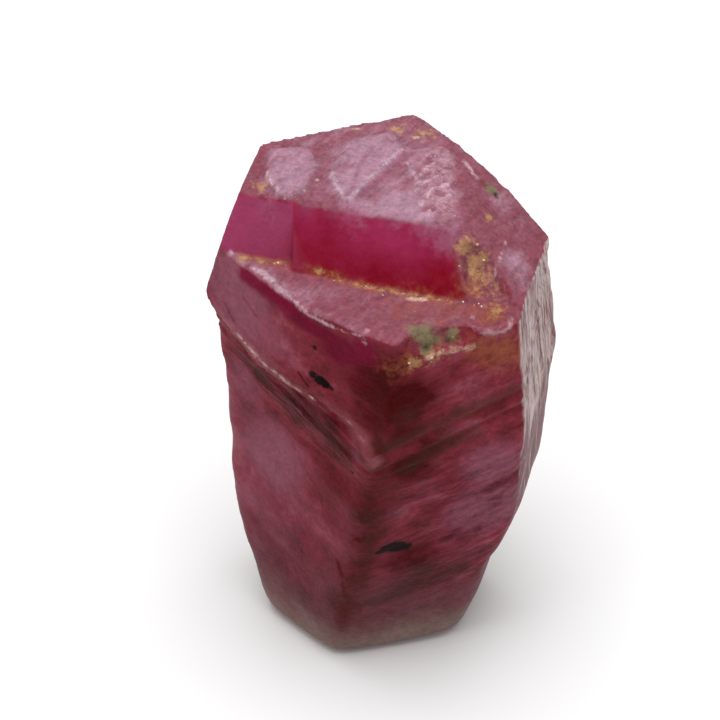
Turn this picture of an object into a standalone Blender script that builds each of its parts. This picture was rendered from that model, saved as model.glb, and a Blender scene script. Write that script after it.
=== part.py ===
"""Raw ruby crystal: one six-sided barrel of corundum, about 15 mm tall, broken off flat at its foot.

Run it with blender --background --python part.py, or from Blender's text editor. Units are metres, +Z is up
and runs along the crystal's long axis, and -Y is its best side. The crystal stands on the flat break at Z = 0.

It is made the way a mineral drawing is: each natural face is a plane with an azimuth, a distance from the
long axis and a lean. The planes cut tilted plates out of a block, one plate for each twin lamella, and the
plates are joined, so their edges leave the oblique ledges that run round the stone. Growth slabs and mineral
crusts are joined on, and the stepped end, the chips and the broken hollows are cut away.

Solids are worked out in millimetres from the long axis, and are moved to their place and scaled to metres
as they become objects.
"""

import math
import random
from typing import NamedTuple

import bmesh
import bpy
from mathutils import Matrix, Vector

MM = 0.001
BLOCK = 40.0  # side of the block that the planes cut, in mm

# Where the long axis stands, in mm. The origin is the middle of the crystal's bounding box, at its foot.
AXIS_PLACE = (-0.0200, -0.2020, 0.0)

# Heights of the level parts of the upper end, in mm
TERRACE = 14.60
LOW_SLAB = 14.68
HIGH_SLAB = 14.76
LEDGE = 13.25

# Twin lamellae lie parallel to one plane. Its normal leans towards the best side.
LAMELLA_AZIMUTH = -105.0
LAMELLA_DIP = 38.2
PLATE_OVERLAP = 0.01

# The left side is a little hollow from here up to the last lamella, and flares out towards its left end.
GROOVE_LEVEL = 8.00

# The riser between terrace and ledge is a rhombohedron face, flatter in its right part.
RISER_AZIMUTH = -105.0
RISER_LEFT_DIP = 57.6
RISER_RIGHT_DIP = 48.0


class Face(NamedTuple):
    """A natural face. distance is from the long axis at height, and a positive lean narrows it downwards."""

    azimuth: float  # degrees, from +X towards +Y
    distance: float  # millimetres
    height: float  # millimetres
    lean: float  # degrees


# Each side of the prism has a top, a belt and a foot, so the crystal is a barrel.
SHARED_FACES = (
    Face(-75.0, 3.92, 13.25, 1.6),  # right front
    Face(-75.0, 3.76, 8.50, 8.5),
    Face(-75.0, 2.10, 0.00, 13.5),
    Face(-15.0, 4.27, 13.20, -3.5),  # right
    Face(-15.0, 4.53, 9.60, 3.9),
    Face(-15.0, 2.47, 0.00, 17.6),
    Face(42.5, 3.52, 14.75, -5.6),  # right back
    Face(45.0, 3.93, 9.30, 6.0),
    Face(45.0, 2.60, 0.00, 11.0),
    Face(108.8, 3.72, 14.75, -1.5),  # back
    Face(105.0, 3.70, 9.50, 5.2),
    Face(105.0, 2.60, 0.00, 12.0),
)
LOWER_LEFT_FACES = (
    Face(165.0, 3.85, 14.75, -5.6),  # left back
    Face(165.0, 4.22, 10.50, 1.6),
    Face(165.0, 2.95, 0.00, 14.6),
    Face(225.0, 3.12, 9.00, 0.8),  # left front
    Face(225.0, 2.71, 0.00, 8.0),
)
GROOVE_LEFT_FACES = (
    Face(165.0, 3.85, 14.75, -8.0),  # left back
    Face(165.0, 4.37, 10.50, 1.5),
    Face(225.0, 3.10, 8.90, 5.0),  # left front
)
UPPER_LEFT_FACES = (
    Face(165.0, 4.70, 11.45, -14.4),  # left back
    Face(223.2, 3.28, 13.25, -7.0),  # left front, in two facets
    Face(237.8, 3.25, 13.25, 0.3),
)


class Plate(NamedTuple):
    """A twin lamella. It reaches up to level along the lamella normal, and stands proud by step."""

    level: float  # millimetres
    step: float  # millimetres


LOWER_PLATES = (
    Plate(-0.60, 0.00),
    Plate(0.50, 0.04),
    Plate(0.75, -0.03),
    Plate(1.90, 0.03),
    Plate(2.80, -0.02),
    Plate(3.95, 0.05),
    Plate(4.15, -0.04),
    Plate(5.35, 0.04),
    Plate(5.60, -0.04),
    Plate(6.20, 0.00),
    Plate(6.75, 0.05),
    Plate(6.95, -0.05),
    Plate(8.00, 0.02),
    Plate(8.60, -0.02),
    Plate(8.85, -0.05),
    Plate(9.00, -0.02),
    Plate(9.25, -0.08),
    Plate(9.50, 0.00),
    Plate(9.72, -0.04),
)


class Slab(NamedTuple):
    """A growth slab on the terrace: a polygon seen from above, listed anticlockwise, and its top's height."""

    name: str
    corners: tuple
    top: float


SLABS = (
    Slab(
        "left_slab",
        ((-2.60, 0.28), (-2.20, 0.62), (-1.74, 1.68), (-2.05, 2.45), (-2.98, 2.40), (-3.08, 1.30)),
        HIGH_SLAB,
    ),
    Slab(
        "middle_slab",
        ((-1.00, 0.24), (-0.70, 0.50), (0.58, 2.24), (0.25, 3.10), (-0.95, 2.70), (-1.42, 1.18)),
        HIGH_SLAB,
    ),
    Slab(
        "right_slab",
        ((-0.75, 0.20), (0.05, -0.36), (0.80, -0.62), (1.55, -0.45), (1.90, 0.60), (1.75, 2.60), (0.50, 2.30)),
        LOW_SLAB,
    ),
)


class Lump(NamedTuple):
    """A rough ball, squashed and turned. It is joined on as a crust or cut away as a hollow."""

    name: str
    place: tuple  # millimetres
    radii: tuple  # millimetres
    turn: tuple  # degrees about X, Y and Z
    roughness: float  # share of the radius
    seed: int


CRUSTS = (
    Lump("green_mineral", (1.08, -3.32, 12.92), (0.36, 0.28, 0.24), (0, 0, 10), 0.16, 3),
    Lump("green_grain", (1.84, -3.25, 12.92), (0.24, 0.18, 0.20), (0, 0, -10), 0.16, 5),
    Lump("pale_crust", (1.95, -3.50, 12.72), (0.56, 0.14, 0.10), (0, 3, 14), 0.18, 8),
    Lump("pale_grain", (1.24, -3.68, 12.64), (0.26, 0.14, 0.10), (0, -6, 12), 0.18, 9),
)

HOLLOWS = (
    Lump("front_chip", (1.50, -3.74, 13.30), (1.18, 0.52, 0.66), (0, 0, 15), 0.05, 10),
    Lump("shoulder_hollow", (2.74, -2.05, 13.98), (0.74, 1.20, 0.62), (28, 0, 24), 0.10, 11),
    Lump("corner_bowl", (2.95, -2.95, 13.55), (0.52, 0.45, 0.42), (0, 0, 0), 0.08, 12),
    Lump("edge_notch", (3.50, 1.80, 14.20), (0.34, 0.42, 0.40), (0, 0, 45), 0.12, 13),
    Lump("terrace_pit_1", (1.45, 2.05, 14.86), (0.34, 0.28, 0.26), (0, 0, 20), 0.18, 14),
    Lump("terrace_pit_2", (1.42, 1.15, 14.84), (0.26, 0.42, 0.22), (0, 0, -15), 0.18, 15),
    Lump("terrace_pit_3", (1.55, 0.10, 14.86), (0.30, 0.36, 0.24), (0, 0, 30), 0.18, 16),
    Lump("foot_chip_1", (3.32, -2.00, 3.25), (0.40, 0.60, 0.60), (0, 20, 0), 0.10, 17),
    Lump("foot_chip_2", (2.62, -1.70, 0.70), (0.42, 0.50, 0.50), (0, 20, 0), 0.10, 18),
    Lump("red_pit", (0.52, -3.92, 12.74), (0.15, 0.10, 0.12), (0, 0, 15), 0.10, 19),
    Lump("left_front_pit", (-1.56, -2.88, 10.90), (0.34, 0.13, 0.13), (0, 33, -32), 0.15, 20),
    Lump("right_front_pit", (0.42, -3.28, 5.16), (0.30, 0.12, 0.16), (0, -22, 15), 0.15, 21),
    Lump("back_hollow", (1.60, 4.05, 5.80), (1.90, 1.10, 2.30), (0, 25, -20), 0.08, 22),
    Lump("left_back_hollow", (-4.40, 1.50, 4.40), (0.75, 1.35, 1.70), (15, 0, -15), 0.08, 23),
    Lump("back_foot_chip", (-0.80, 3.10, 0.20), (1.30, 0.60, 0.55), (0, 0, 8), 0.12, 24),
)


def direction(azimuth, dip=90.0):
    """The unit vector with this azimuth, dip degrees away from +Z."""
    a = math.radians(azimuth)
    d = math.radians(dip)
    return Vector((math.sin(d) * math.cos(a), math.sin(d) * math.sin(a), math.cos(d)))


LAMELLA_NORMAL = direction(LAMELLA_AZIMUTH, LAMELLA_DIP)


def new_block():
    bm = bmesh.new()
    bmesh.ops.create_cube(bm, size=BLOCK)
    return bm


def cut_by_plane(bm, point, normal):
    """Cuts off what lies beyond the plane, and closes the cut with one flat face."""
    cut = bmesh.ops.bisect_plane(
        bm,
        geom=bm.verts[:] + bm.edges[:] + bm.faces[:],
        dist=1e-5,
        plane_co=point,
        plane_no=normal,
        clear_outer=True,
    )
    rim = [g for g in cut["geom_cut"] if isinstance(g, bmesh.types.BMEdge)]
    if rim:
        bmesh.ops.contextual_create(bm, geom=rim)


def cut_by_face(bm, face, step):
    point = direction(face.azimuth) * (face.distance + step)
    point.z = face.height
    cut_by_plane(bm, point, direction(face.azimuth, 90.0 + face.lean))


def new_object(bm, name, collection):
    bmesh.ops.translate(bm, vec=AXIS_PLACE, verts=bm.verts[:])
    bmesh.ops.scale(bm, vec=(MM, MM, MM), verts=bm.verts[:])
    bmesh.ops.recalc_face_normals(bm, faces=bm.faces[:])
    mesh = bpy.data.meshes.new(name)
    bm.to_mesh(mesh)
    bm.free()
    obj = bpy.data.objects.new(name, mesh)
    collection.objects.link(obj)
    return obj


def new_guide(bm, name, collection):
    """An object that only joins on to the crystal or cuts it."""
    obj = new_object(bm, name, collection)
    obj.hide_render = True
    obj.display_type = "WIRE"
    return obj


def new_collection(name):
    collection = bpy.data.collections.new(name)
    bpy.context.scene.collection.children.link(collection)
    return collection


def barrel(faces, step):
    """A barrel between the foot and the terrace, with every side face moved out by step."""
    bm = new_block()
    cut_by_plane(bm, (0, 0, 0), (0, 0, -1))
    cut_by_plane(bm, (0, 0, TERRACE), (0, 0, 1))
    for face in faces:
        cut_by_face(bm, face, step)
    return bm


def upper_front():
    """The crystal above the last lamella, with the left side as two facets that stand proud."""
    bm = barrel(SHARED_FACES + UPPER_LEFT_FACES, 0.0)
    cut_by_plane(bm, LAMELLA_NORMAL * (LOWER_PLATES[-1].level - PLATE_OVERLAP), -LAMELLA_NORMAL)
    return new_object(bm, "ruby_crystal", bpy.context.scene.collection)


def add_plates(collection):
    low = -BLOCK / 4
    for number, plate in enumerate(LOWER_PLATES):
        left_faces = GROOVE_LEFT_FACES if plate.level > GROOVE_LEVEL else LOWER_LEFT_FACES
        bm = barrel(SHARED_FACES + left_faces, plate.step)
        cut_by_plane(bm, LAMELLA_NORMAL * (low - PLATE_OVERLAP), -LAMELLA_NORMAL)
        cut_by_plane(bm, LAMELLA_NORMAL * plate.level, LAMELLA_NORMAL)
        new_guide(bm, f"lamella_{number}", collection)
        low = plate.level


def add_slab(slab, collection):
    """A flat slab whose sides slope outwards by about the slab's height."""
    bm = new_block()
    cut_by_plane(bm, (0, 0, slab.top), (0, 0, 1))
    cut_by_plane(bm, (0, 0, TERRACE - 0.05), (0, 0, -1))
    for start, end in zip(slab.corners, slab.corners[1:] + slab.corners[:1]):
        a = Vector((start[0], start[1], slab.top))
        b = Vector((end[0], end[1], slab.top))
        along = (b - a).normalized()
        outward = Vector((along.y, -along.x, 0.8))
        cut_by_plane(bm, a, outward)
    new_guide(bm, slab.name, collection)


def add_lump(lump, collection):
    rng = random.Random(lump.seed)
    bm = bmesh.new()
    bmesh.ops.create_icosphere(bm, subdivisions=2, radius=1.0)
    for vert in bm.verts:
        vert.co *= 1.0 + lump.roughness * rng.uniform(-1.0, 1.0)
    turn = Matrix.Identity(4)
    for axis, degrees in zip("XYZ", lump.turn):
        turn = Matrix.Rotation(math.radians(degrees), 4, axis) @ turn
    bmesh.ops.transform(bm, matrix=Matrix.Diagonal((*lump.radii, 1.0)), verts=bm.verts[:])
    bmesh.ops.transform(bm, matrix=Matrix.Translation(lump.place) @ turn, verts=bm.verts[:])
    new_guide(bm, lump.name, collection)


def add_cutter(name, planes, collection):
    """The space inside all the planes, each a point and an outward normal."""
    bm = new_block()
    for point, normal in planes:
        cut_by_plane(bm, point, normal)
    new_guide(bm, name, collection)


def add_riser_cutter(name, distance, dip, sides, collection):
    """The space over the ledge and in front of a riser whose foot is at this distance from the axis."""
    foot = direction(RISER_AZIMUTH) * distance
    foot.z = LEDGE
    planes = [(foot, -direction(RISER_AZIMUTH, dip)), ((0, 0, LEDGE), (0, 0, -1))]
    add_cutter(name, planes + sides, collection)


def add_end_cutters(collection):
    left_limit = [((-2.40, 0, 0), (1, 0, 0))]
    add_riser_cutter("riser_left", 1.24, RISER_LEFT_DIP, left_limit, collection)
    add_riser_cutter("riser_right", 1.62, RISER_RIGHT_DIP, [], collection)
    add_cutter("shoulder_front", [((1.80, -0.90, 14.75), -direction(-11.6, 31.9))], collection)
    add_cutter("shoulder_back", [((1.85, 1.00, 14.75), -direction(12.0, 22.5))], collection)
    add_cutter("back_bevel", [((-0.80, 3.60, 14.75), -direction(108.0, 38.0))], collection)
    add_cutter("right_back_bevel", [((1.90, 3.20, 14.60), -direction(50.0, 30.0))], collection)


def add_rim_strip(collection):
    """The steep strip under the ledge's left rim."""
    rim = direction(223.2) * 3.24
    rim.z = LEDGE - 0.22
    planes = [
        (rim, -direction(223.2, 88.0)),
        (rim, -direction(223.2, 15.0)),
        ((-1.6, 0, 0), (1, 0, 0)),
    ]
    add_cutter("left_rim_strip", planes, collection)


def apply_guides(body, collection, operation):
    """Joins on or cuts away each guide in turn, with a modifier of its own."""
    for guide in collection.objects:
        modifier = body.modifiers.new(guide.name, "BOOLEAN")
        modifier.operation = operation
        modifier.solver = "EXACT"
        modifier.object = guide


def add_material(body):
    material = bpy.data.materials.new("raw_ruby")
    material.use_nodes = True
    shader = material.node_tree.nodes["Principled BSDF"]
    shader.inputs["Base Color"].default_value = (0.25, 0.045, 0.06, 1.0)
    shader.inputs["Roughness"].default_value = 0.42
    shader.inputs["Metallic"].default_value = 0.0
    shader.inputs["IOR"].default_value = 1.77
    body.data.materials.append(material)


def main():
    for obj in list(bpy.data.objects):
        bpy.data.objects.remove(obj)
    body = upper_front()

    plates = new_collection("lamellae")
    add_plates(plates)
    for slab in SLABS:
        add_slab(slab, plates)
    ends = new_collection("end_cutters")
    add_end_cutters(ends)
    add_rim_strip(ends)
    hollows = new_collection("hollows")
    for lump in HOLLOWS:
        add_lump(lump, hollows)
    crusts = new_collection("crusts")
    for lump in CRUSTS:
        add_lump(lump, crusts)

    apply_guides(body, plates, "UNION")
    apply_guides(body, ends, "DIFFERENCE")
    apply_guides(body, hollows, "DIFFERENCE")
    apply_guides(body, crusts, "UNION")
    add_material(body)


main()
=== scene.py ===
import math
from functools import partial

import bmesh
import bpy
import numpy as np
from bpy.props import FloatProperty, FloatVectorProperty, IntProperty, PointerProperty
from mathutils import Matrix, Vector
from mathutils.bvhtree import BVHTree


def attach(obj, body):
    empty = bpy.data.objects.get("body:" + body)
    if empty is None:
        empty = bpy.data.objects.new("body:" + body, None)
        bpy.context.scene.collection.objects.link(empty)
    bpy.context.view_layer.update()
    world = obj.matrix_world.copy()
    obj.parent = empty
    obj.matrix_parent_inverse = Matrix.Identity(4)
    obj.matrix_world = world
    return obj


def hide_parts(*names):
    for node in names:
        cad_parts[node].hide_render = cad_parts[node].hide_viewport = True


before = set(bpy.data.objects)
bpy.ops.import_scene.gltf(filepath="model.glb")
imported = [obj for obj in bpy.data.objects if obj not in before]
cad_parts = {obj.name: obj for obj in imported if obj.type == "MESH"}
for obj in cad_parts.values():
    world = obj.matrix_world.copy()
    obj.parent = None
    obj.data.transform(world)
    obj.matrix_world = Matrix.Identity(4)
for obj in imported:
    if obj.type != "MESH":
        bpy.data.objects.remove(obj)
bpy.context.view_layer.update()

bl_info = {
    "name": "Raw ruby crystal",
    "version": (1, 0, 0),
    "blender": (4, 5, 0),
    "location": "View3D > Sidebar > Ruby",
    "description": "Dresses the solid of a raw ruby crystal with its lamellae, frosted faces and crusts",
    "category": "Object",
}

# Shapes are worked out in millimetres from the crystal's long axis, and stored in metres.
MM = 0.001
AXIS_PLACE = np.array((-0.0200, -0.2020, 0.0))

NODE = "ruby_crystal"
SKIN = "ruby_skin"
GRAINS = "crust_grains"


def unit(azimuth, dip=90.0):
    """The unit vector with this azimuth from +X, dip degrees away from +Z."""
    a = math.radians(azimuth)
    d = math.radians(dip)
    return np.array((math.sin(d) * math.cos(a), math.sin(d) * math.sin(a), math.cos(d)))


# Twin lamellae lie parallel to one plane, and the riser of the stepped end is a rhombohedron face towards the
# same azimuth. Its level is its distance from the foot along its normal.
LAMELLA_AZIMUTH = -105.0
LAMELLA = unit(LAMELLA_AZIMUTH, 38.2)
RISER = unit(LAMELLA_AZIMUTH, 53.0)
RISER_LEVEL = 9.12

# Heights of the stepped end's two levels, the riser's right end and its slant, and the end of its milky part.
LEDGE = 13.25
TERRACE = 14.60
RISER_END = 1.81
RISER_SLANT = 0.42
RISER_END_HEIGHT = 14.21
MILKY_END = -2.39

# Azimuths of the sides.
FRONT = -75.0
LEFT = 225.0
STRIP = -15.0
BACK = 105.0

# The way the scrapes on the stepped end run.
GRAZE_AZIMUTH = 56.0

# How often the mesh, or a mask, is averaged with its neighbours.
EDGE_ROUNDS = 4
FOOT_ROUNDS = 36
HEEL_ROUNDS = 40
SLAB_ROUNDS = 11
RISER_ROUNDS = 10
STRIP_ROUNDS = 8
NORMAL_ROUNDS = 3

# How far the rounded heel is swelled out again.
HEEL_SWELL = 0.10

# The front and the stepped end above this height get a finer mesh.
FINE_ABOVE = 8.3

# Half the floor's side, in metres.
FLOOR_HALF = 1.5

# Crumbs thinner than this share are left out.
LEAST_CRUMBS = 0.05

# The stone's refraction, and in metres its bumps and how far light scatters in it.
RUBY_IOR = 1.77
RUBY_BUMP = 0.00004
RUBY_SCATTER = 0.0004
CRUST_BUMP = 0.00002

# What the camera looks at, from the long axis, then its elevation in degrees, distance and lens.
AIM = np.array((-0.59, 1.40, 7.9))
CAMERA_ELEVATION = 42.0
CAMERA_DISTANCE = 110.0
CAMERA_LENS = 195.8
CAMERA_SENSOR = 36.0

# Lines along the crystal's edges, in millimetres from the long axis.
RIDGE_PATH = (
    (-4.24, -0.40, 11.20), (-3.83, -1.13, 10.96), (-3.22, -1.80, 10.69), (-2.47, -2.27, 10.28),
    (-1.65, -2.78, 10.12), (-0.98, -3.20, 9.93), (-0.52, -3.62, 9.51), (-0.25, -3.92, 9.06),
)
LEDGE_RIM = (
    (-4.07, -0.23, 13.25), (-3.52, -0.80, 13.25), (-3.20, -1.01, 13.25), (-2.57, -1.86, 13.25),
    (-2.16, -2.42, 13.17), (-1.50, -2.89, 13.06), (-1.05, -3.18, 13.07), (-0.58, -3.48, 13.12),
)
UNDER_RIM = (
    (-3.63, -0.87, 13.05), (-2.70, -1.96, 12.98), (-2.17, -2.47, 12.80), (-1.37, -2.97, 12.64),
    (-0.84, -3.31, 12.48),
)
RISER_FOOT = (
    (-3.80, -0.43, 13.25), (-3.12, -0.64, 13.25), (-2.45, -0.72, 13.25), (-1.64, -1.13, 13.36),
    (-0.84, -1.50, 13.25), (0.22, -1.82, 13.25), (1.01, -2.02, 13.25), (1.81, -2.23, 13.25),
)
FRONT_EDGE = (
    (-0.34, -3.62, 12.40), (-0.31, -3.63, 10.98), (-0.31, -3.92, 9.24), (-0.47, -3.84, 7.48),
    (-0.66, -3.60, 5.72), (-0.85, -3.44, 4.00), (-1.08, -3.00, 1.95), (-1.23, -2.62, 0.53),
)
DEEP_EDGE = (
    (-0.05, -3.85, 9.60), (0.05, -3.85, 8.60), (-0.20, -3.70, 7.20), (-0.40, -3.50, 5.60),
    (-0.70, -3.30, 4.00), (-1.00, -3.00, 2.60),
)
STRIP_EDGE = (
    (4.50, 0.34, 13.02), (4.18, -0.87, 13.24), (4.04, -1.48, 12.99), (3.83, -2.27, 12.97),
    (3.75, -2.66, 12.61), (3.78, -2.90, 11.03), (3.91, -2.63, 8.58), (4.00, -2.20, 7.00),
)
LEFT_SLAB_EDGE = ((-3.11, 1.37, 14.72), (-2.94, 0.86, 14.69), (-2.58, 0.35, 14.69), (-2.26, 0.56, 14.76))
MIDDLE_SLAB_EDGE = (
    (-1.38, 1.34, 14.74), (-1.17, 0.64, 14.76), (-0.95, 0.24, 14.72), (-0.71, 0.48, 14.75),
    (-0.31, 1.15, 14.76), (0.18, 1.83, 14.76), (0.56, 2.42, 14.70),
)
RIGHT_SLAB_EDGE = ((-0.79, 0.29, 14.64), (-0.18, -0.23, 14.65), (0.49, -0.49, 14.66), (1.15, -0.43, 14.68))

# Soft blots on the surface, by mask: x, y, z, radius and strength.
SPOTS = {
    "rose": (
        (1.3, -3.3, 13.0, 0.5, 1.0), (3.98, -1.5, 13.02, 0.34, 0.62), (4.03, -1.68, 12.62, 0.34, 0.55),
        (2.7, -1.3, 13.8, 0.9, 1.3), (2.2, -1.8, 13.5, 0.4, 0.9),
    ),
    # Frosted spots on the level faces, painted lighter as a painted sheen.
    "frost_and_sheen": (
        (3.45, -1.15, 13.55, 0.55, 0.75), (3.75, -1.7, 13.3, 0.35, 0.6), (0.45, 0.05, 14.66, 0.7, 1.25),
        (-2.7, 1.2, 14.72, 0.7, 0.62), (-1.15, 0.9, 14.76, 0.45, 0.65), (-1.9, -1.9, 13.25, 0.7, 0.45),
        (3.2, 0.9, 14.1, 0.6, 0.5),
    ),
    # Painted sheen over the top of the riser.
    "veil_sheen": (
        (-0.71, -0.26, 14.57, 0.42, 0.62), (1.02, -0.78, 14.5, 0.3, 0.6), (1.35, -0.84, 14.5, 0.36, 0.85),
        (1.72, -1.02, 14.4, 0.4, 1.1), (0.3, -0.5, 14.6, 0.35, 0.5), (-3.0, 0.1, 14.5, 0.45, 0.45),
    ),
    "mark": (
        (-1.95, 0.12, 14.6, 0.36, 0.75), (-1.3, -0.1, 14.6, 0.32, 0.7), (-3.3, 0.35, 14.6, 0.35, 0.3),
        (-1.6, 0.5, 14.6, 0.45, 0.35), (-3.2, 0.95, 14.6, 0.3, 0.12), (1.95, -0.2, 14.58, 0.4, 0.45),
    ),
    "wine": (
        (-2.1, -2.4, 9.6, 0.5, 0.7), (-2.9, -1.6, 9.5, 0.45, 0.6), (-1.11, -3.14, 12.32, 0.6, 1.1),
        (-0.45, -3.5, 12.65, 0.5, 1.0), (-0.75, -3.3, 11.6, 0.6, 0.5),
    ),
    "mauve": (
        (-3.9, -0.8, 12.3, 1.25, 1.35), (-2.9, -1.8, 11.6, 1.0, 0.55), (-3.0, -1.5, 6.8, 1.6, 0.9),
        (-3.7, -0.6, 8.8, 0.9, 0.7), (-2.6, -1.9, 4.5, 1.3, 0.5), (3.0, -2.9, 8.0, 1.0, 1.15),
        (2.9, -2.8, 6.2, 1.2, 1.3), (1.3, -3.2, 7.3, 0.8, 0.55), (2.4, -3.2, 11.0, 0.6, 0.35),
    ),
    # Dark spots; those in the groove under the ridge are painted shade.
    "dark": (
        (-2.07, -2.4, 9.59, 0.6, 1.0), (-1.45, -2.95, 9.5, 0.55, 0.9), (-3.0, -1.4, 9.45, 0.5, 0.6),
        (0.2, -3.95, 12.3, 0.8, 0.9), (-0.2, -3.72, 11.5, 0.9, 1.25), (0.5, -3.87, 11.1, 1.0, 1.2),
        (-0.2, -3.7, 10.4, 0.9, 0.8), (0.6, -3.8, 9.9, 1.0, 0.68), (0.7, -3.7, 8.6, 0.9, 0.9),
        (1.2, -3.5, 9.3, 0.9, 0.75), (1.0, -3.1, 4.6, 0.9, 0.7), (-1.3, -3.0, 8.7, 0.6, 0.8),
        (-1.3, -3.0, 7.4, 0.8, 0.5), (-2.4, -2.1, 8.9, 0.5, 0.6), (-0.6, -3.4, 12.0, 0.6, 0.6),
    ),
    "smoke": (
        (2.3, -3.35, 10.3, 0.3, 0.8), (0.3, -3.6, 7.6, 0.7, 0.6), (-2.6, -1.9, 9.1, 0.5, 0.7),
        (2.05, -3.5, 10.35, 0.32, 1.0), (1.9, -3.5, 9.35, 0.5, 0.65), (1.1, -2.9, 3.4, 0.8, 0.75),
        (0.4, -3.0, 3.0, 0.8, 0.62), (-3.95, -0.9, 10.2, 0.45, 0.7), (0.7, -3.85, 10.6, 0.5, 0.45),
    ),
    # Darker soft patches; those in the groove under the ridge and under the ledge are painted shade.
    "darkening": (
        (-1.4, -2.9, 12.2, 0.9, 0.45), (-1.3, -3.0, 11.2, 0.9, 0.42), (-3.3, -1.2, 9.6, 1.0, 0.45),
        (-2.1, -2.4, 9.6, 0.85, 1.3), (-1.2, -3.1, 9.4, 0.8, 1.0), (-3.6, -0.8, 8.2, 1.2, 0.3),
        (-1.2, -3.0, 6.6, 1.5, 0.65), (-2.4, -2.0, 3.6, 1.8, 0.55), (-1.8, -2.2, 1.6, 1.4, 0.35),
        (0.9, -3.1, 4.2, 1.6, 0.6), (0.1, -3.8, 11.6, 0.9, 0.45), (0.1, -3.8, 10.4, 0.8, 0.25),
        (0.6, -3.6, 8.6, 1.1, 0.35), (1.4, -3.4, 7.4, 1.2, 0.35), (-2.6, -1.2, 13.25, 0.6, 0.35),
    ),
    "stain": (
        (0.2, -3.85, 12.3, 0.5, 0.34), (0.7, -2.5, 13.25, 0.9, 0.42), (1.7, -2.7, 13.25, 0.6, 0.5),
        (0.62, -3.83, 12.69, 0.24, 1.0), (1.4, -3.6, 12.8, 0.45, 0.7), (0.45, -3.9, 12.4, 0.45, 0.55),
        (1.9, -3.3, 13.0, 0.4, 0.55), (2.3, -2.6, 13.25, 0.45, 0.5), (2.86, -2.72, 13.19, 0.5, 0.75),
        (3.2, -3.2, 12.3, 0.65, 1.0), (2.7, -3.3, 12.55, 0.55, 0.88), (2.45, -1.9, 13.6, 0.5, 0.8),
        (1.9, -2.3, 13.25, 0.4, 0.6),
    ),
    "gold": (
        (2.9, -2.5, 13.25, 0.4, 0.34), (1.2, 3.25, 14.6, 0.34, 0.5), (0.45, 3.35, 14.6, 0.3, 0.45),
        (-3.2, 0.85, 14.6, 0.22, 0.45), (0.9, -3.8, 12.49, 0.2, 0.8), (1.3, -3.72, 12.66, 0.34, 0.65),
        (2.2, -1.1, 14.18, 0.3, 0.85), (2.45, -1.4, 13.8, 0.4, 0.78), (2.75, -1.8, 13.45, 0.4, 0.68),
        (2.87, 0.05, 14.21, 0.14, 0.8), (-3.4, 1.0, 14.6, 0.25, 0.35),
    ),
    "green": (
        (2.95, 1.15, 14.3, 0.22, 0.9), (1.0, -3.41, 13.2, 0.33, 0.95), (1.2, -3.45, 13.06, 0.36, 1.0),
        (1.12, -3.56, 12.86, 0.28, 0.9), (1.45, -3.4, 12.98, 0.24, 0.8), (1.84, -3.38, 13.07, 0.26, 1.0),
        (0.55, -3.18, 5.1, 0.16, 0.6), (2.9, 1.3, 14.3, 0.18, 0.8),
    ),
    "ink": (
        (3.05, 1.0, 14.22, 0.14, 0.6), (-1.8, -2.7, 12.04, 0.085, 1.1), (-1.84, -2.66, 11.03, 0.14, 1.2),
        (-1.67, -2.73, 10.92, 0.17, 1.3), (-1.49, -2.79, 10.83, 0.15, 1.2), (-1.33, -2.92, 10.79, 0.1, 1.0),
        (0.09, -3.32, 5.16, 0.18, 1.5), (0.29, -3.22, 5.18, 0.24, 1.6), (0.48, -3.16, 5.14, 0.25, 1.5),
        (0.66, -3.14, 5.07, 0.18, 1.2), (-0.1, -3.36, 5.06, 0.12, 1.2), (1.72, -3.42, 12.93, 0.2, 0.52),
        (1.12, -3.56, 12.84, 0.2, 0.5), (0.61, -3.83, 12.66, 0.07, 0.8), (-0.79, -3.43, 8.18, 0.09, 0.9),
        (3.92, -2.55, 7.43, 0.06, 0.7),
    ),
    # Lighter spots on the strip: scrapes and painted sheen.
    "scuff_and_sheen": (
        (4.08, -2.15, 9.45, 0.9, 1.0), (4.4, -0.9, 10.4, 0.6, 0.35),
    ),
}

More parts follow.
